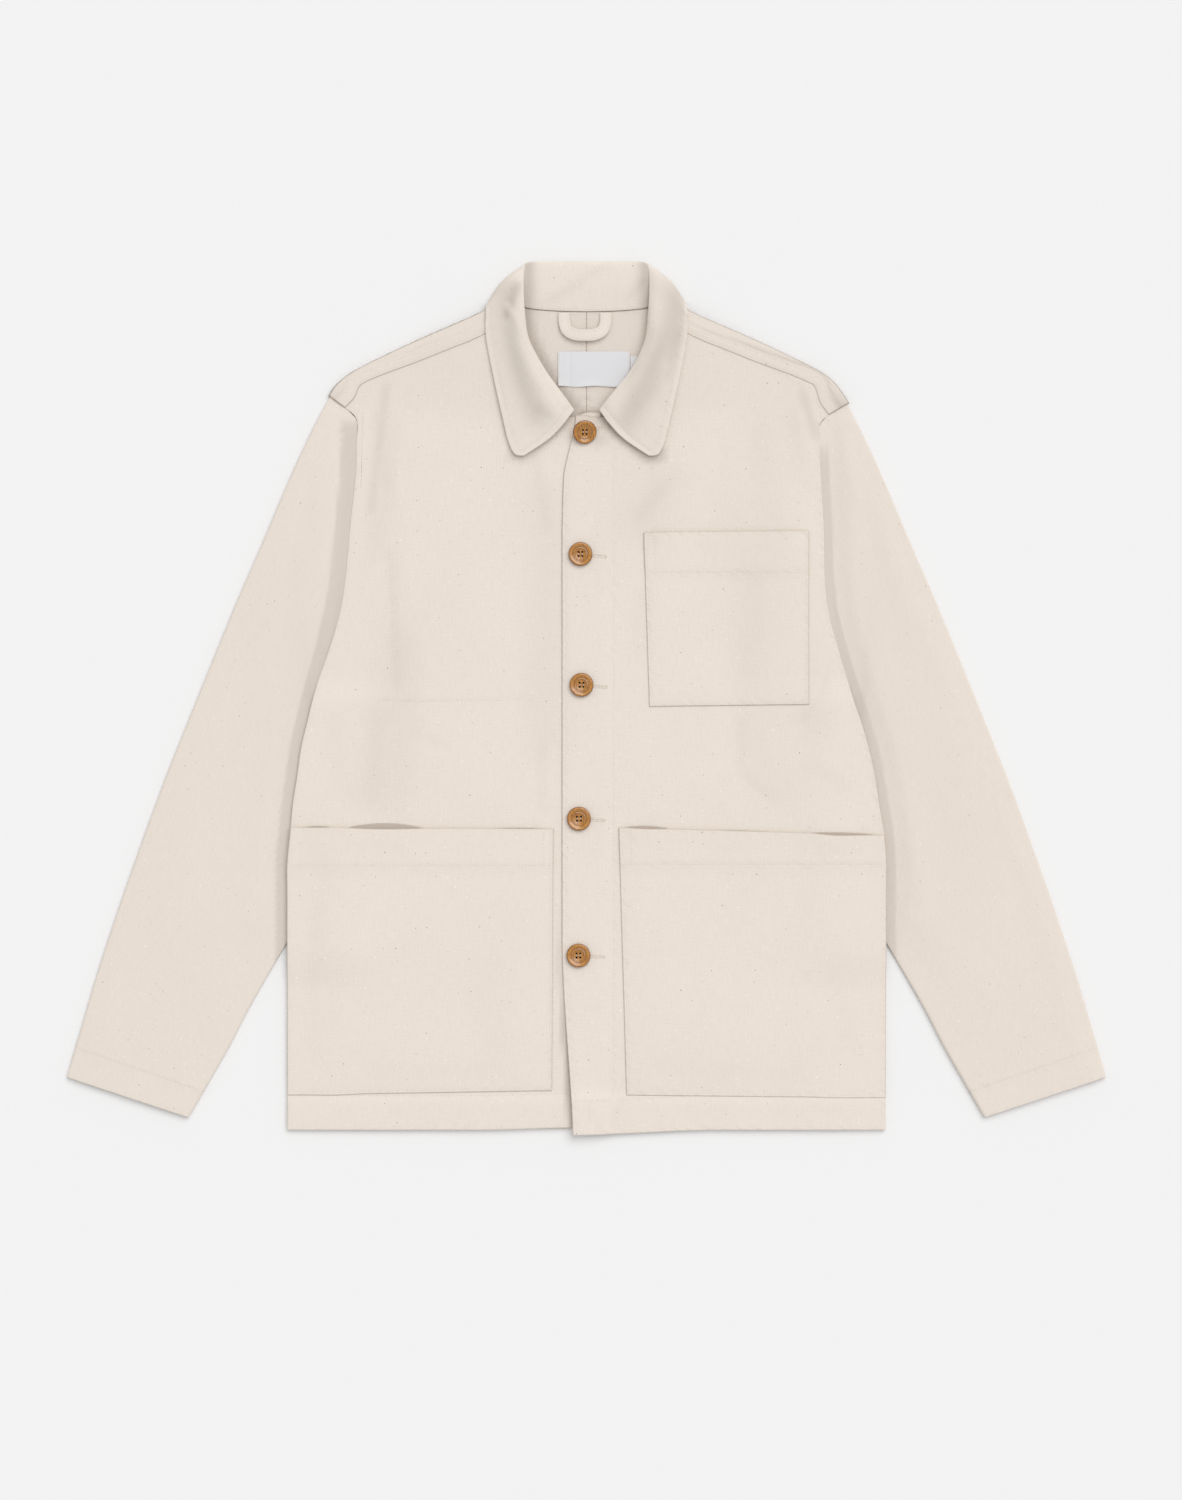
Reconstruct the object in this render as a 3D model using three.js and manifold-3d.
// A button-front chore jacket in heavy unbleached cotton, laid face up on a flat surface, sleeves down.
// Millimetres: +X to the wearer's left, +Y towards the collar, +Z up, and the surface at z 0.
// The back lies on the surface, the two fronts on the back, and the pockets on the fronts.
import * as THREE from "three";
import { mergeVertices } from "three/addons/utils/BufferGeometryUtils.js";
import Module from "manifold-3d";

// Cloth and air
const cloth = 1.2; // one layer of heavy twill
const hemCloth = 2.2; // a turned and stitched hem
const collarPly = 1.0; // upper and under collar, each
const plyGap = 0.7; // between them
const seam = 0.3; // between pieces that are sewn together
const layGap = 0.45; // between a piece and what it lies on

// The cut, laid flat
const halfBody = 269; // centre line to side seam
const hemY = -388.5;
const hemDepth = 27;
const underlap = 13; // how far the wearer's right front runs past the centre line, below the left one
const frontEdge = 22; // how far the wearer's left front runs past the centre line, on top
const belly = 2.4; // air inside the body, at its fullest
const shoulderAir = 1.6; // air at the armholes and the shoulders
const sideAir = 0.4; // air at the side seams
const cornerLift = 3; // the wearer's left front lifts off at its hem corner

// The body's outer edge on the wearer's left and right: the armhole down to the armpit, then the side seam
const sideEdge = [
  { y: -400, left: 269, right: 269 },
  { y: -145, left: 269.5, right: 269 },
  { y: -118, left: 267, right: 266 },
  { y: -96, left: 263, right: 264 },
  { y: -70, left: 259, right: 260 },
  { y: -45, left: 253.5, right: 256.5 },
  { y: -22, left: 247, right: 251 },
  { y: -5, left: 241, right: 247 },
  { y: 15, left: 235, right: 241.5 },
  { y: 45, left: 226, right: 231 },
  { y: 78, left: 217.6, right: 221.5 },
  { y: 112, left: 214, right: 216.4 },
  { y: 150, left: 213.5, right: 213 },
  { y: 202, left: 210.5, right: 207.5 },
];
const armpitY = 15; // where the armhole seam ends
// The armhole above that, up to the point of the shoulder
const armholeTop = {
  left: [
    { out: 209.5, y: 224 },
    { out: 209.5, y: 245 },
    { out: 218, y: 254.5 },
    { out: 235, y: 264.5 },
  ],
  right: [
    { out: 207, y: 226 },
    { out: 206.5, y: 250 },
    { out: 217.5, y: 261 },
    { out: 231, y: 271 },
  ],
};

// Grid lines of a half body, out from the centre line. Three more run from the last one to the outer edge.
const grainLines = [0, 14, 30, 54, 85, 118, 152, 178, 200];
const pocketLine = 2; // the lower pocket's inner edge
const chestLine = 3; // the chest pocket's inner edge
const chestOuterLine = 8;
const neckLine = 4; // the line that ends where neck and shoulder meet
const outerGrain = grainLines.length - 1;
const lastLine = outerGrain + 3;

// Where the lines end: the front's neckline and shoulder seam, and the back's neckline and shoulder fold
const frontTop = [
  { out: 0, y: 253.8 },
  { out: 16, y: 253 },
  { out: 40, y: 261.5 },
  { out: 59, y: 286 },
  { out: 70, y: 331 },
  { out: 110, y: 318.6 },
  { out: 150, y: 303 },
  { out: 180, y: 292 },
  { out: 198, y: 284.5 },
];
const backTop = [
  { out: 0, y: 346.8 },
  { out: 15, y: 347 },
  { out: 32, y: 347.6 },
  { out: 56, y: 350.4 },
  { out: 68, y: 357.5 },
  { out: 105, y: 341 },
  { out: 150, y: 321.5 },
  { out: 180, y: 307.5 },
  { out: 203, y: 296 },
];
// and the last three lines, round the point of the shoulder
const frontCorner = {
  left: [{ out: 205, y: 280 }, { out: 210, y: 266 }, { out: 218, y: 254.5 }],
  right: [{ out: 204.5, y: 279.5 }, { out: 209, y: 270 }, { out: 217.5, y: 261 }],
};
const backCorner = {
  left: [{ out: 217, y: 287.5 }, { out: 227.5, y: 276 }, { out: 235, y: 264.5 }],
  right: [{ out: 214.5, y: 289 }, { out: 224.5, y: 280.5 }, { out: 231, y: 271 }],
};

// At the centre line, how far the left front's hem hangs lower, and the right front's hem and neck lie higher
const leftDroop = 4.3;
const rightRise = 2.3;
const neckRaise = 3;

// Patch pockets. near is towards the centre line, far is towards the side.
const lowerPocket = {
  left: { mouthNear: -116.3, mouthFar: -123, footNear: -357, footFar: -359.5, edgeMouth: 29, edgeFoot: 36 },
  right: { mouthNear: -117.5, mouthFar: -116, footNear: -353, footFar: -357, edgeMouth: 29.7, edgeFoot: 31 },
};
const chestPocket = {
  mouthNear: 148.6,
  mouthFar: 151.4,
  footNear: -8,
  footFar: -5,
  edgeMouth: 51.4,
  edgeFoot: 56.5,
};

// Soft folds of the fronts, each from one end to the other: where, how wide and how high
const folds = [
  { x0: -178, y0: 262, x1: -192, y1: 122, wide: 22, high: -1.4 },
  { x0: -152, y0: 250, x1: -160, y1: 90, wide: 24, high: 1.0 },
  { x0: -172, y0: 60, x1: -190, y1: -105, wide: 26, high: -1.3 },
  { x0: -40, y0: 190, x1: -42, y1: -60, wide: 20, high: -0.9 },
  { x0: -105, y0: 170, x1: -118, y1: -90, wide: 34, high: 0.9 },
  { x0: 76, y0: 205, x1: 38, y1: 140, wide: 20, high: -1.2 },
  { x0: 152, y0: 260, x1: 140, y1: -30, wide: 24, high: -1.2 },
  { x0: 140, y0: -20, x1: 172, y1: -110, wide: 24, high: -1.1 },
  { x0: 100, y0: 30, x1: 104, y1: -100, wide: 26, high: 0.9 },
  { x0: 226, y0: 60, x1: 200, y1: -40, wide: 20, high: -1.0 },
  { x0: 190, y0: 262, x1: 205, y1: 190, wide: 18, high: -1.0 },
  { x0: 150, y0: -190, x1: 120, y1: -330, wide: 40, high: 0.8 },
  { x0: -150, y0: -180, x1: -190, y1: -330, wide: 40, high: 0.8 },
];

// The sleeve's sections, from armhole to cuff: the outer fold, the underarm fold and the height between them.
// Below the armpit the underarm fold is tucked below the body, which lies tuckLift higher there.
const tuckLift = 3.5;
const tuckHeight = 2.9; // the sleeve's height there
const sleeveSections = [
  { outX: 231, outY: 271, inX: 240, inY: 15, full: 4.0, thin: 4.0, bend: 1 },
  { outX: 240, outY: 254, inX: 243, inY: -8, full: 5.4, thin: 3.4, bend: 0.9 },
  { outX: 252, outY: 230, inX: 249.5, inY: -28, full: 6.1, thin: 2.9, bend: 0.75 },
  { outX: 270, outY: 190, inX: 250.5, inY: -54, full: 6.2, thin: 2.8, bend: 0.42 },
  { outX: 292, outY: 138, inX: 239, inY: -90, full: 6.2, thin: 2.8, bend: 0.35 },
  { outX: 315, outY: 85, inX: 238, inY: -126, full: 6.1, thin: 2.8, bend: 0.17 },
  { outX: 338, outY: 29, inX: 243, inY: -163, full: 6.0, thin: 2.8, bend: 0.06 },
  { outX: 361, outY: -28, inX: 254.5, inY: -194, full: 5.9, thin: 2.8, bend: 0 },
  { outX: 382, outY: -81, inX: 269.8, inY: -221, full: 5.8, thin: 3.0, bend: 0 },
  { outX: 402, outY: -136, inX: 287.5, inY: -251, full: 5.8, thin: 4.0, bend: 0 },
  { outX: 421, outY: -190, inX: 305, inY: -282, full: 5.7, thin: 4.6, bend: 0 },
  { outX: 440, outY: -248, inX: 321.5, inY: -314, full: 5.6, thin: 4.8, bend: 0 },
  { outX: 457.5, outY: -307, inX: 341.5, inY: -349, full: 5.4, thin: 5.0, bend: 0 },
  { outX: 459, outY: -312, inX: 343.2, inY: -352, full: 5.5, thin: 5.2, bend: 0 },
  { outX: 467.5, outY: -341, inX: 357.8, inY: -377.3, full: 5.6, thin: 5.2, bend: 0 },
];
const besideSections = 2; // the first sections, whose underarm fold runs beside the body
const underarmGap = 0.8;
const cuffSections = 2; // the last sections, where the cuff's hem is turned
const cuffCloth = 2.1;

const collarLift = 3.0; // the collar's fall passes below the back of the neck
// The collar's sections, from the centre front to the centre back: x, y and z at the neck seam, the roll line
// and the outer edge
const collarSections = [
  { neck: [19, 254.8, 4.6], roll: [12, 257.5, 8], edge: [56, 217.5, 8] },
  { neck: [28, 258, 4.6], roll: [18.5, 266.5, 10.2], edge: [64.5, 219, 7.4] },
  { neck: [38, 261.6, 4.7], roll: [27, 278, 11.6], edge: [70.5, 231, 7.2] },
  { neck: [47, 271.4, 4.8], roll: [36, 290.5, 12.6], edge: [75.5, 252, 7.3] },
  { neck: [58.8, 289, 5], roll: [45.5, 306.5, 12.8], edge: [80.3, 273, 7.5] },
  { neck: [63.8, 309, 5.5], roll: [53.5, 324, 12.6], edge: [86, 300, 8] },
  { neck: [68.4, 328, 6.1], roll: [56.5, 345, 12], edge: [90, 322, 8.5] },
  { neck: [68.4, 343, 6.1], roll: [57.6, 363, 11], edge: [90.8, 336, 8.9] },
  { neck: [67.3, 353, 5.8], roll: [57.6, 377, 9.6], edge: [90.2, 346, 9.2] },
  { neck: [66.2, 358.7, 5], roll: [57, 384, 8], edge: [89, 352.2, 6.6] },
  { neck: [61, 354.8, 4.4], roll: [55, 388.6, 6.2], edge: [87.8, 353.2, 2.5] },
  { neck: [54, 350.8, 4.2], roll: [50.5, 390.7, 5.3], edge: [82, 345.5, 1.35] },
  { neck: [42, 349.1, 4.1], roll: [38.5, 391.1, 4.8], edge: [68, 341.5, 1.35] },
  { neck: [22, 347.8, 4.1], roll: [18, 391.2, 4.7], edge: [36, 338.5, 1.35] },
  { neck: [0, 347.4, 4.1], roll: [0, 391.2, 4.7], edge: [0, 337.5, 1.35] },
];
// Their heights halfway up the stand, just past the roll and halfway across the fall, and how far the fall's
// outline is bowed out
const collarHeights = [
  { stand: 5.6, crest: 10.6, sag: 9, bow: -4 },
  { stand: 6.8, crest: 13, sag: 8.8, bow: -1.5 },
  { stand: 7.6, crest: 14.6, sag: 9.2, bow: 0 },
  { stand: 8.2, crest: 15.8, sag: 9.6, bow: 0 },
  { stand: 8.6, crest: 16.2, sag: 10, bow: 0 },
  { stand: 8.8, crest: 15.8, sag: 10.6, bow: 0 },
  { stand: 8.8, crest: 14.8, sag: 11, bow: 1 },
  { stand: 8.4, crest: 13, sag: 10.6, bow: 2 },
  { stand: 7.8, crest: 12, sag: 10.2, bow: 3 },
  { stand: 7.2, crest: 10, sag: 7.6, bow: 4 },
  { stand: 6.8, crest: 4.4, sag: 3.2, bow: 4 },
  { stand: 6.6, crest: 2.3, sag: 1.5, bow: 4 },
  { stand: 6.6, crest: 1.9, sag: 1.35, bow: 2 },
  { stand: 6.8, crest: 1.8, sag: 1.35, bow: 0 },
  { stand: 6.9, crest: 1.8, sag: 1.35, bow: 0 },
];

// Fastenings and small pieces
const button = { radius: 10.8, thick: 3.4, rim: 2.3, well: 0.9, holeRadius: 1.05, holeOut: 2.1 };
const buttons = [
  { x: -1.8, y: 239, lean: 12 },
  { x: -5.4, y: 129.2, lean: 0 },
  { x: -4.5, y: 11.7, lean: 0 },
  { x: -6.8, y: -108.5, lean: 0 },
  { x: -7.2, y: -231.3, lean: 0 },
];
const hangerLoop = {
  width: 10.5,
  thick: 1.6,
  path: [
    { x: -20.3, y: 345, up: 0 },
    { x: -19.8, y: 337, up: 1 },
    { x: -17, y: 330, up: 2 },
    { x: -10.3, y: 326.4, up: 2.8 },
    { x: -1.4, y: 325.7, up: 3.2 },
    { x: 7.5, y: 326.4, up: 2.8 },
    { x: 14.2, y: 330, up: 2 },
    { x: 17, y: 337, up: 1 },
    { x: 17.4, y: 345, up: 0 },
  ],
};
const label = { x0: -25.6, x1: 39, y0: 280, y1: 311.4, thick: 1 };
const sizeTab = { x0: 39.4, x1: 50.4, y0: 293.5, y1: 307, thick: 1 };

const lerp = THREE.MathUtils.lerp;
const clamp = THREE.MathUtils.clamp;
// 0 at one value, 1 at another and beyond it, smooth in between
const ramp = (value, none, full) => THREE.MathUtils.smoothstep((value - none) / (full - none), 0, 1);

// One column of a table whose rows rise along another column
function follow(rows, key, value, at) {
  const last = rows.length - 1;
  if (at <= rows[0][key]) return rows[0][value];
  if (at >= rows[last][key]) return rows[last][value];
  const i = rows.findIndex((row) => row[key] > at) - 1;
  return lerp(rows[i][value], rows[i + 1][value], (at - rows[i][key]) / (rows[i + 1][key] - rows[i][key]));
}

const sideName = (side) => (side > 0 ? "left" : "right");
const edgeAt = (side, y) => follow(sideEdge, "y", sideName(side), y);

// A list of numbers at a part position, on a smooth curve through them
function glide(values, at) {
  const i = clamp(Math.floor(at), 0, values.length - 2);
  const [a, b, c, d] = [i - 1, i, i + 1, i + 2].map((k) => values[clamp(k, 0, values.length - 1)]);
  const t = at - i;
  return b + 0.5 * t * (c - a + t * (2 * a - 5 * b + 4 * c - d + t * (3 * (b - c) + d - a)));
}

// How far the back's underside lies above the surface: over the tucked sleeves, and over the collar's fall
function lift(out, y) {
  const sleeve = ramp(out, 165, 225) * ramp(y, 22, -8) * ramp(y, -265, -225);
  const collar = ramp(y, 230, 325) * ramp(out, 170, 100);
  return tuckLift * sleeve + collarLift * collar;
}

function foldHeight(x, y) {
  return folds.reduce((sum, f) => {
    const dx = f.x1 - f.x0;
    const dy = f.y1 - f.y0;
    const length = Math.hypot(dx, dy);
    const along = ((x - f.x0) * dx + (y - f.y0) * dy) / length;
    const off = ((x - f.x0) * dy - (y - f.y0) * dx) / length;
    const ends = ramp(along, -f.wide, f.wide) * ramp(along, length + f.wide, length - f.wide);
    return sum + f.high * ends * Math.exp(-((off / f.wide) ** 2));
  }, 0);
}

const hemThick = (y) => (y < hemY + hemDepth + 0.5 ? hemCloth : cloth);

// Air between the back and a front
function air(side, out, y) {
  const edge = lerp(sideAir, shoulderAir, ramp(y, -5, 45));
  const middle = belly * lerp(0.45, 1, ramp(y, hemY, hemY + 90));
  const body = lerp(edge, middle + foldHeight(side * out, y), ramp(edgeAt(side, y) - out, 0, 60));
  return Math.max(sideAir, lerp(body, shoulderAir, ramp(y, 225, 265)));
}

// The underside of a front. The left one climbs over the right one at the centre, and its hem corner lifts.
function frontUnder(side, out, y) {
  const climb = (hemThick(y - 6) + layGap) * ramp(out, 30, 14);
  const corner = cornerLift * ramp(y, -260, -380) * ramp(out, 20, -20);
  const above = side > 0 ? climb + corner : 0;
  return lift(Math.abs(out), y) + hemThick(y) + air(side, out, y) + above;
}

const pocketOf = (side) => (side > 0 ? lowerPocket.left : lowerPocket.right);

// Levels of the body's grid, up from the hem. near and far are at the pocket's inner edge and at the side.
function levelsOf(side) {
  const p = pocketOf(side);
  const flat = (y) => ({ near: y, far: y });
  return [
    flat(hemY),
    flat(hemY + hemDepth),
    { near: p.footNear, far: p.footFar },
    ...[-328, -297, -266, -244, -222, -198, -173, -148.5].map(flat),
    { near: p.mouthNear, far: p.mouthFar },
    ...[-96, -70, -45, -22].map(flat),
    { near: chestPocket.footNear, far: chestPocket.footFar },
    ...[15, 45, 78, 112].map(flat),
    { near: chestPocket.mouthNear, far: chestPocket.mouthFar },
    flat(202),
  ];
}
const footLevel = 2;
const mouthLevel = 11;
const chestFootLevel = 16;
const chestMouthLevel = 21;
const yokeLevel = 22; // above this one the grid fans out to the neck and the shoulder

// Where a grid line crosses a level, out from the centre line. Lines below 0 are past the centre line.
function gridPlace(side, line, level) {
  const p = pocketOf(side);
  const { near, far } = levelsOf(side)[Math.min(level, yokeLevel)];
  const base = line <= outerGrain ? grainLines[Math.max(line, 0)] : halfBody;
  const y = lerp(near, far, clamp((base - p.edgeMouth) / (halfBody - p.edgeMouth), 0, 1));
  const edge = edgeAt(side, y);
  const down = clamp((p.mouthNear - y) / (p.mouthNear - p.footNear), 0, 1);
  const chestDown = clamp((chestPocket.mouthNear - y) / (chestPocket.mouthNear - chestPocket.footNear), 0, 1);
  if (line < 0) return { out: (line / 2) * pastCentre(side, y), y };
  if (line === pocketLine) return { out: lerp(p.edgeMouth, p.edgeFoot, down), y };
  if (line === chestLine) return { out: lerp(chestPocket.edgeMouth, chestPocket.edgeFoot, chestDown), y };
  if (line <= outerGrain) return { out: grainLines[line], y };
  return { out: lerp(grainLines[outerGrain], edge, (line - outerGrain) / 3), y };
}

// How far a front's edge is past the centre line
function pastCentre(side, y) {
  if (side < 0) return underlap;
  return frontEdge - 12.5 * ramp(y, 185, 260) - 10 * ramp(y, -215, -415);
}

// The same above the yoke level, a share of the way to the line's end. arm is the armhole's point there.
function fanPlace(side, line, share, ends, arm) {
  const start = gridPlace(side, Math.min(line, outerGrain), yokeLevel);
  const end = ends[clamp(line, 0, outerGrain)];
  const y = lerp(start.y, end.y, share);
  if (line < 0) return { out: (line / 2) * pastCentre(side, y), y };
  const place = { out: lerp(start.out, end.out, share), y };
  if (line <= outerGrain) return place;
  const t = (line - outerGrain) / 3;
  const last = ends[lastLine];
  const bulge = (name) => share * (ends[line][name] - lerp(end[name], last[name], t));
  return { out: lerp(place.out, arm.out, t) + bulge("out"), y: lerp(place.y, arm.y, t) + bulge("y") };
}

// Where a half body's grid line crosses a row, of which fan rows lie above the yoke level
function bodyPlace(side, line, row, fan, ends) {
  if (row <= yokeLevel) return gridPlace(side, line, row);
  const arm = armholeTop[sideName(side)][row - yokeLevel - 1];
  return fanPlace(side, line, (row - yokeLevel) / fan, ends, arm);
}

// A closed wall through a grid of cells. keep says which cells are there, under and over give its two faces.
function wall(columns, rows, under, over, keep = () => true) {
  const points = [];
  const index = new Map();
  const faces = [];
  const vertex = (i, j, top) => {
    const key = `${i},${j},${top}`;
    if (!index.has(key)) {
      index.set(key, points.length);
      points.push(top ? over(i, j) : under(i, j));
    }
    return index.get(key);
  };
  const quad = (a, b, c, d) => faces.push(a, b, c, a, c, d);
  const there = (i, j) => i >= 0 && j >= 0 && i < columns && j < rows && keep(i, j);
  for (let i = 0; i < columns; i++) {
    for (let j = 0; j < rows; j++) {
      if (!there(i, j)) continue;
      const corners = [[i, j], [i + 1, j], [i + 1, j + 1], [i, j + 1]];
      const [a, b, c, d] = corners.map(([u, v]) => vertex(u, v, true));
      const [e, f, g, h] = corners.map(([u, v]) => vertex(u, v, false));
      quad(a, b, c, d);
      quad(e, h, g, f);
      if (!there(i, j - 1)) quad(e, f, b, a);
      if (!there(i + 1, j)) quad(f, g, c, b);
      if (!there(i, j + 1)) quad(g, h, d, c);
      if (!there(i - 1, j)) quad(h, e, a, d);
    }
  }
  return closedGeometry(points, faces);
}

// Turned the right way round if its faces point inwards
function closedGeometry(points, faces) {
  const signed = (k) => points[faces[k]].dot(points[faces[k + 1]].clone().cross(points[faces[k + 2]]));
  let volume = 0;
  for (let k = 0; k < faces.length; k += 3) volume += signed(k);
  if (volume < 0) faces.reverse();
  const geometry = new THREE.BufferGeometry();
  geometry.setAttribute("position", new THREE.Float32BufferAttribute(points.flatMap((p) => p.toArray()), 3));
  geometry.setIndex(faces);
  return geometry;
}

const at = (side, place, z) => new THREE.Vector3(side * place.out, place.y, z);

// A front: from its edge past the centre line out to the side seam, up to the neckline and shoulder seam
function front(side) {
  const firstLine = -2;
  const fan = 3;
  const ends = [...frontTop, ...frontCorner[sideName(side)]];
  const place = (i, j) => {
    const line = i + firstLine;
    const p = bodyPlace(side, line, j, fan, ends);
    const droop = side > 0 ? -leftDroop * ramp(p.out, 120, -10) : rightRise * ramp(p.out, 100, 0);
    const raise = side < 0 && line < 1 && j === yokeLevel + fan ? neckRaise : 0;
    return { out: Math.max(p.out, -pastCentre(side, p.y)), y: p.y + (j === 0 ? droop : raise) };
  };
  const under = (i, j) => {
    const p = place(i, j);
    return at(side, p, frontUnder(side, p.out, p.y));
  };
  const over = (i, j) => {
    const p = place(i, j);
    return at(side, p, frontUnder(side, p.out, p.y) + hemThick(j === 0 ? hemY : p.y));
  };
  return wall(lastLine - firstLine, yokeLevel + fan, under, over);
}

// Half of the back: from the centre seam to the side seam, and over the shoulder fold to the front's seam
function back(side) {
  const fan = 4;
  const foldStart = yokeLevel + fan;
  const turns = 4; // steps round the shoulder fold
  const foldRadius = (cloth + shoulderAir) / 2;
  const ends = [...backTop, ...backCorner[sideName(side)]];
  const seamEnds = [...frontTop, ...frontCorner[sideName(side)]];
  // Across the shoulder, from the front's seam to the fold
  const foldDirection = (i) => {
    const [from, to] = [seamEnds[i], ends[i]];
    return new THREE.Vector2(to.out - from.out, to.y - from.y).normalize();
  };
  const flatPlace = (i, j) => {
    const p = bodyPlace(side, i, j, fan, ends);
    return { out: Math.max(p.out, seam / 2), y: p.y + (j === 0 ? 1 : 0) };
  };
  const point = (i, j, inside) => {
    const across = (inside ? 0.5 : -0.5) * cloth;
    if (j <= foldStart) {
      const p = flatPlace(i, j);
      const folds = j === foldStart && i >= neckLine;
      const along = folds ? foldDirection(i).multiplyScalar(foldRadius) : new THREE.Vector2();
      const z = lift(p.out, p.y) + (inside ? hemThick(j === 0 ? hemY : p.y) : 0);
      return at(side, { out: p.out - along.x, y: p.y - along.y }, z);
    }
    const d = foldDirection(i);
    const fold = ends[i];
    const middle = lift(fold.out, fold.y) + cloth / 2 + foldRadius;
    if (j <= foldStart + turns) {
      const angle = (Math.PI * (j - foldStart)) / turns - Math.PI / 2;
      const reach = (foldRadius - across) * Math.cos(angle) - foldRadius;
      const z = middle + (foldRadius - across) * Math.sin(angle);
      return at(side, { out: fold.out + d.x * reach, y: fold.y + d.y * reach }, z);
    }
    const end = seamEnds[i];
    const z = frontUnder(side, end.out, end.y) + cloth / 2 - across;
    return at(side, { out: end.out + d.x * seam, y: end.y + d.y * seam }, z);
  };
  const rows = foldStart + turns + 1;
  const there = (i, j) => j < foldStart || i >= neckLine;
  return wall(lastLine, rows, (i, j) => point(i, j, false), (i, j) => point(i, j, true), there);
}

// A patch pocket, from the points of the front that it lies on
function pocket(side, firstLine, endLine, footRow, mouthRow) {
  const onFront = (i, j) => {
    const p = gridPlace(side, i + firstLine, j + footRow);
    return at(side, p, frontUnder(side, p.out, p.y) + cloth + layGap);
  };
  const rows = mouthRow - footRow + 1;
  // The pocket's hem reaches down to the level below the mouth, where one more row makes its step
  const spot = (i, j) => {
    if (j < rows - 1) return onFront(i, j);
    const mouth = onFront(i, rows - 1);
    return j === rows ? mouth : mouth.clone().lerp(onFront(i, rows - 2), 0.97);
  };
  const thick = (j) => (j >= rows - 1 ? hemCloth : cloth);
  return wall(endLine - firstLine, rows, spot, (i, j) => spot(i, j).add(new THREE.Vector3(0, 0, thick(j))));
}

// The armhole from the point of the shoulder down to the armpit, set out by the seam
function armholeSeam(side) {
  const name = sideName(side);
  const below = sideEdge.filter((p) => p.y >= armpitY).map((p) => ({ out: p[name], y: p.y }));
  const edge = [...below, ...armholeTop[name]].reverse();
  return edge.map((p, k) => {
    const before = edge[Math.max(k - 1, 0)];
    const after = edge[Math.min(k + 1, edge.length - 1)];
    const d = new THREE.Vector2(after.out - before.out, after.y - before.y).normalize();
    return new THREE.Vector2(p.out - d.y * seam * 1.3, p.y + d.x * seam * 1.3);
  });
}

// A sleeve: a flattened tube through its sections, open at the armhole and the cuff
function sleeve(side) {
  const arm = armholeSeam(side);
  const end = arm.length - 1;
  const runs = arm.map((_, k) => arm.slice(1, k + 1).reduce((sum, p, m) => sum + p.distanceTo(arm[m]), 0));
  const share = runs.map((run) => run / runs[end]);
  const bends = arm.map((p, k) => p.clone().sub(arm[0].clone().lerp(arm[end], share[k])));

  // One ring: over the top from the outer fold to the underarm fold, and back below
  const ring = (v, inside) => {
    const s = sleeveSections[v];
    const outer = v ? new THREE.Vector2(s.outX, s.outY) : arm[0];
    const besideBody = Math.max(s.inX, edgeAt(side, s.inY) + underarmGap);
    const inX = v <= besideSections ? besideBody : s.inX;
    const inner = v ? new THREE.Vector2(inX, s.inY) : arm[end];
    const heading = inner.clone().sub(outer).normalize();
    const wide = v >= sleeveSections.length - cuffSections ? cuffCloth : cloth;
    const thick = inside ? wide : 0;
    const plan = share.map((t, k) => outer.clone().lerp(inner, t).addScaledVector(bends[k], s.bend));
    const height = (k) => {
      const taper = lerp(s.full, s.thin, ramp(share[k], 0.72, 1));
      const round = lerp(taper, 0.8 * s.full, ramp(share[k], 0.12, 0));
      const outside = plan[k].x - edgeAt(side, plan[k].y);
      return Math.min(round, lerp(s.full, tuckHeight, v ? ramp(outside, 27, 7) : 0));
    };
    const rounding = (k) => {
      const reach = height(k) * (v ? 0.5 : 0.25) + thick * 0.4;
      return k === 0 ? reach : k === end ? -reach : 0;
    };
    const spots = plan.map((p, k) => p.clone().addScaledVector(heading, rounding(k)));
    const top = spots.map((p, k) => new THREE.Vector3(side * p.x, p.y, height(k) - thick));
    const bottom = spots.map((p) => new THREE.Vector3(side * p.x, p.y, thick));
    const fold = (k, direction) => {
      const p = plan[k].clone().addScaledVector(heading, direction * thick);
      return new THREE.Vector3(side * p.x, p.y, height(k) / 2);
    };
    return [...top, fold(end, -1), ...bottom.reverse(), fold(0, 1)];
  };

  const sections = sleeveSections.length;
  const outside = sleeveSections.map((_, v) => ring(v, false));
  const within = sleeveSections.map((_, v) => ring(v, true));
  const count = outside[0].length;
  const id = (layer, v, k) => (layer * sections + v) * count + (k % count);
  const faces = [];
  const quad = (a, b, c, d) => faces.push(a, b, c, a, c, d);
  for (let k = 0; k < count; k++) {
    for (let v = 0; v < sections - 1; v++) {
      quad(id(0, v, k), id(0, v, k + 1), id(0, v + 1, k + 1), id(0, v + 1, k));
      quad(id(1, v + 1, k), id(1, v + 1, k + 1), id(1, v, k + 1), id(1, v, k));
    }
    const cuff = sections - 1;
    quad(id(1, 0, k), id(1, 0, k + 1), id(0, 0, k + 1), id(0, 0, k));
    quad(id(0, cuff, k), id(0, cuff, k + 1), id(1, cuff, k + 1), id(1, cuff, k));
  }
  return closedGeometry([...outside.flat(), ...within.flat()], faces);
}

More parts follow.
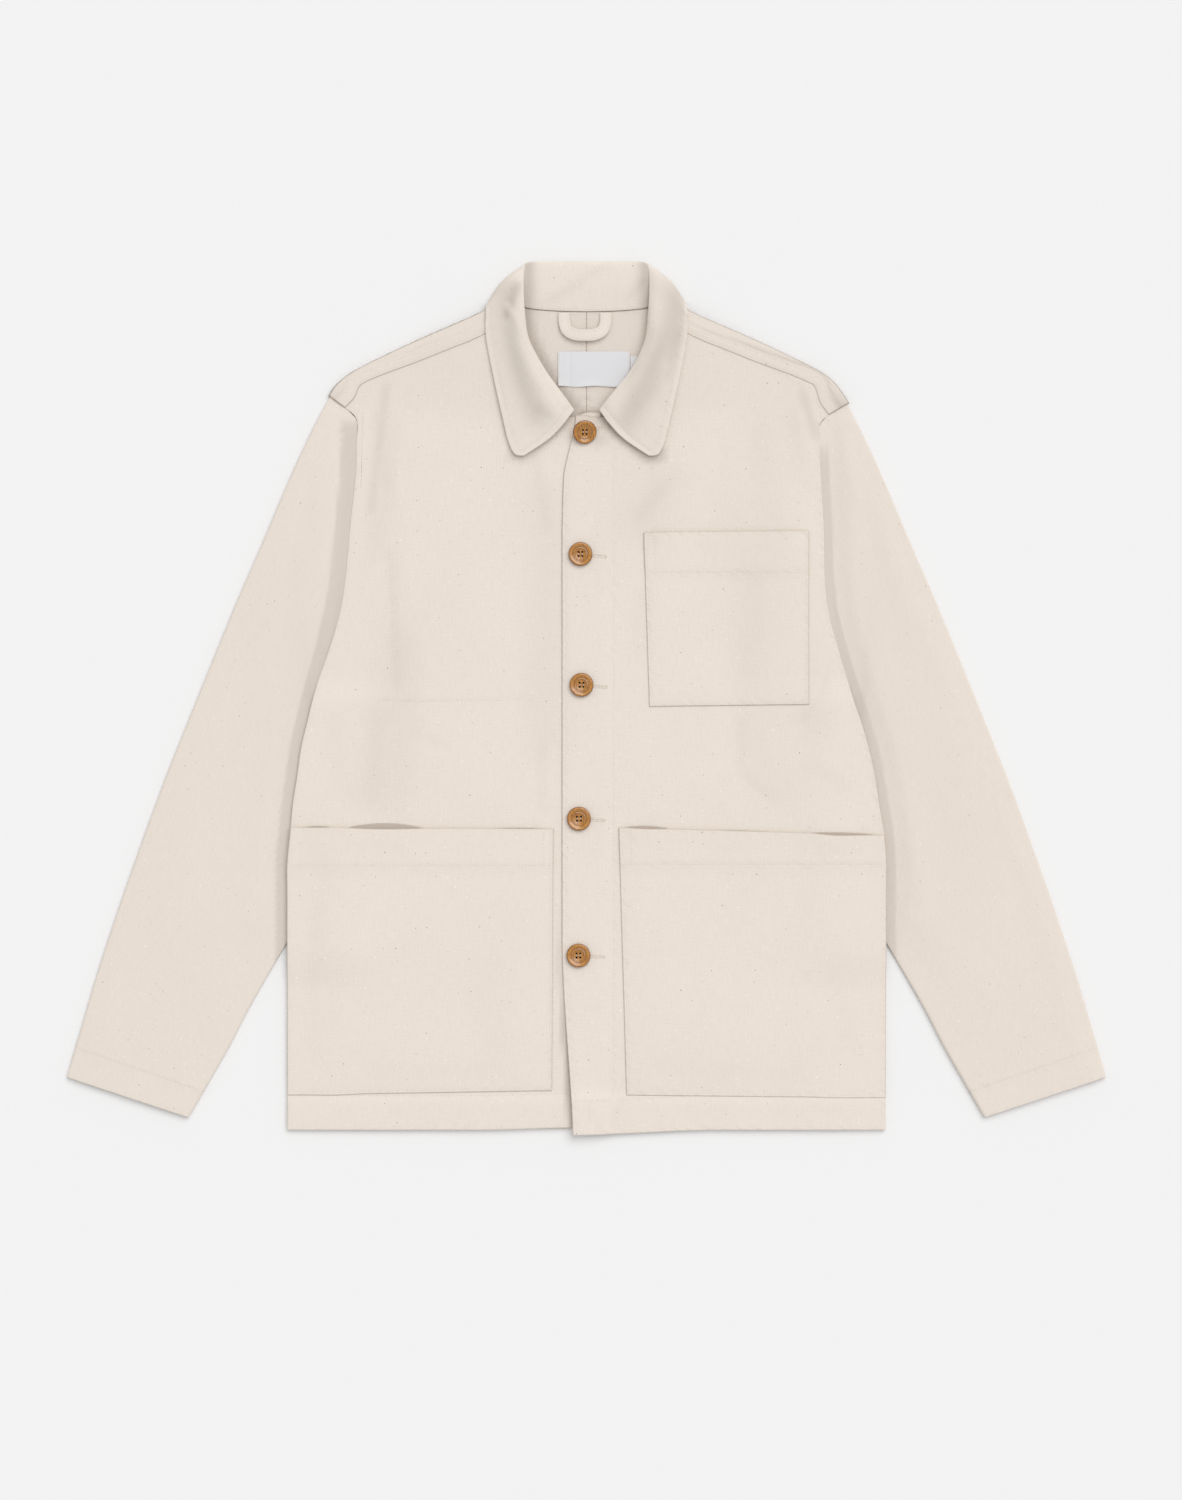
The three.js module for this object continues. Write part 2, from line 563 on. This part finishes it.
// The collar's middle surface: along runs from one front end round the back to the other, across from the
// neck seam to the outer edge
function collarPoint(along, across) {
  const last = collarSections.length - 1;
  const side = along <= last ? -1 : 1;
  const row = along <= last ? along : 2 * last - along;
  const place = (name, axis) => glide(collarSections.map((s) => s[name][axis]), row);
  const [neck, roll, edge] = ["neck", "roll", "edge"].map(
    (name) => new THREE.Vector3(...[0, 1, 2].map((axis) => place(name, axis))),
  );
  const [stand, crest, sag, bow] = ["stand", "crest", "sag", "bow"].map((name) =>
    glide(collarHeights.map((s) => s[name]), row),
  );
  const part = (from, to, t, z, bow = 0) => {
    const flat = new THREE.Vector2(to.x - from.x, to.y - from.y).normalize();
    const p = from.clone().lerp(to, t);
    return new THREE.Vector3(p.x - flat.y * bow, p.y + flat.x * bow, z);
  };
  const spots = [
    neck,
    part(neck, roll, 0.55, stand),
    part(neck, roll, 0.9, lerp(stand, Math.max(roll.z, stand), 0.6)),
    roll,
    part(roll, edge, 0.1, lerp(roll.z, crest, 0.85), bow * 0.3),
    part(roll, edge, 0.24, crest, bow * 0.7),
    part(roll, edge, 0.55, sag, bow),
    edge,
  ];
  const reach = across * (spots.length - 1);
  const p = new THREE.Vector3(...["x", "y", "z"].map((axis) => glide(spots.map((q) => q[axis]), reach)));
  const step = side > 0 && p.y < 300 ? (cloth + layGap) * ramp(p.x, 40, 18) : 0;
  return new THREE.Vector3(side * p.x, p.y, p.z + step);
}

// One ply of the collar, between two distances from the middle surface
function collarPlyBetween(low, high) {
  const last = collarSections.length - 1;
  const half = [0, 1, 2, 3, 4, 5, 6, 7, 7.5, 8, 8.5, 9, 9.5, 10, 10.5, 11, 12, 13];
  const alongStops = [...half, last, ...half.map((row) => 2 * last - row).reverse()];
  const acrossStops = [0, 0.14, 0.27, 0.37, 0.43, 0.5, 0.57, 0.64, 0.72, 0.86, 1];
  const step = 0.02;
  const spot = (i, j, off) => {
    const s = alongStops[i];
    const t = acrossStops[j];
    const du = collarPoint(Math.min(s + step, 2 * last), t).sub(collarPoint(Math.max(s - step, 0), t));
    const dv = collarPoint(s, Math.min(t + step, 1)).sub(collarPoint(s, Math.max(t - step, 0)));
    const normal = du.cross(dv).normalize();
    return collarPoint(s, t).addScaledVector(normal, off);
  };
  const [under, over] = [low, high].map((off) => (i, j) => spot(i, j, off));
  return wall(alongStops.length - 1, acrossStops.length - 1, under, over);
}

const wasm = await Module();
wasm.setup();

function toSolid(geometry) {
  const plain = geometry.clone();
  plain.deleteAttribute("normal");
  plain.deleteAttribute("uv");
  const merged = mergeVertices(plain, 1e-4);
  const mesh = new wasm.Mesh({
    numProp: 3,
    vertProperties: merged.attributes.position.array,
    triVerts: new Uint32Array(merged.index.array),
  });
  return new wasm.Manifold(mesh);
}

function toGeometry(solid) {
  const mesh = solid.getMesh();
  const geometry = new THREE.BufferGeometry();
  geometry.setAttribute("position", new THREE.Float32BufferAttribute(mesh.vertProperties, 3));
  geometry.setIndex(new THREE.Uint32BufferAttribute(mesh.triVerts, 1));
  return geometry;
}

// A four-hole button with a raised rim, its underside at z 0
function buttonGeometry() {
  const { radius, thick, rim, well, holeRadius, holeOut } = button;
  const profile = [
    [0, 0],
    [radius * 0.8, 0],
    [radius, thick * 0.45],
    [radius * 0.97, thick * 0.85],
    [radius - rim * 0.5, thick],
    [radius - rim, thick - well * 0.4],
    [radius * 0.5, thick - well],
    [0, thick - well],
  ].map(([r, z]) => new THREE.Vector2(r, z));
  const disc = toSolid(new THREE.LatheGeometry(profile, 22).rotateX(Math.PI / 2));
  const hole = (k) => {
    const angle = (k / 4) * 2 * Math.PI + Math.PI / 4;
    const drill = new THREE.CylinderGeometry(holeRadius, holeRadius, 3 * thick, 6).rotateX(Math.PI / 2);
    return toSolid(drill.translate(Math.cos(angle) * holeOut, Math.sin(angle) * holeOut, 0));
  };
  return toGeometry([0, 1, 2, 3].reduce((made, k) => made.subtract(hole(k)), disc));
}

const backTopHeight = (x, y) => lift(Math.abs(x), y) + cloth;

// A flat patch on the inside of the back
function backPatch({ x0, x1, y0, y1, thick }, columns) {
  const spot = (i, j, z) => {
    const x = lerp(x0, x1, i / columns);
    const y = lerp(y0, y1, j / 2);
    return new THREE.Vector3(x, y, backTopHeight(x, y) + layGap + z);
  };
  return wall(columns, 2, (i, j) => spot(i, j, 0), (i, j) => spot(i, j, thick));
}

// A strip bent into a U, both ends sewn in at the neck seam
function loopGeometry() {
  const { width, thick, path } = hangerLoop;
  const steps = 16;
  const spot = (i, j, z) => {
    const t = (i / steps) * (path.length - 1);
    const value = (name, where) => glide(path.map((q) => q[name]), clamp(where, 0, path.length - 1));
    const dx = value("x", t + 0.05) - value("x", t - 0.05);
    const dy = value("y", t + 0.05) - value("y", t - 0.05);
    const off = (j - 0.5) * width;
    const length = Math.hypot(dx, dy);
    const x = value("x", t) - (dy / length) * off;
    const y = Math.min(value("y", t) + (dx / length) * off, path[0].y);
    return new THREE.Vector3(x, y, backTopHeight(x, y) + layGap + value("up", t) + z);
  };
  return wall(steps, 1, (i, j) => spot(i, j, 0), (i, j) => spot(i, j, thick));
}

const twill = () => new THREE.MeshStandardMaterial({ color: 0xe9dfd4, roughness: 0.92, metalness: 0 });
const nut = () => new THREE.MeshStandardMaterial({ color: 0xb87833, roughness: 0.4, metalness: 0 });
const tape = () => new THREE.MeshStandardMaterial({ color: 0xf1f0f0, roughness: 0.7, metalness: 0 });

const jacket = new THREE.Group();

function add(name, geometry, material) {
  const mesh = new THREE.Mesh(geometry, material);
  mesh.name = name;
  jacket.add(mesh);
  return mesh;
}

const sides = { left: 1, right: -1 }; // the wearer's
for (const [name, side] of Object.entries(sides)) {
  add(`back_${name}`, back(side), twill());
  add(`front_${name}`, front(side), twill());
  add(`sleeve_${name}`, sleeve(side), twill());
  add(`pocket_${name}`, pocket(side, pocketLine, lastLine, footLevel, mouthLevel), twill());
}
add("pocket_chest", pocket(sides.left, chestLine, chestOuterLine, chestFootLevel, chestMouthLevel), twill());
add("collar_under", collarPlyBetween(-plyGap / 2 - collarPly, -plyGap / 2), twill());
add("collar_upper", collarPlyBetween(plyGap / 2, plyGap / 2 + collarPly), twill());
add("hanger_loop", loopGeometry(), twill());
add("label", backPatch(label, 4), tape());
add("size_tab", backPatch(sizeTab, 1), tape());
buttons.forEach(({ x, y, lean }, k) => {
  const made = add(`button_${k + 1}`, buttonGeometry(), nut());
  const tilt = THREE.MathUtils.degToRad(lean);
  const raise = Math.sin(tilt) * button.radius * 0.8;
  made.position.set(x, y, frontUnder(sides.left, x, y) + cloth + layGap + raise);
  made.rotation.set(tilt * Math.SQRT1_2, tilt * Math.SQRT1_2, 0);
});

export default jacket;
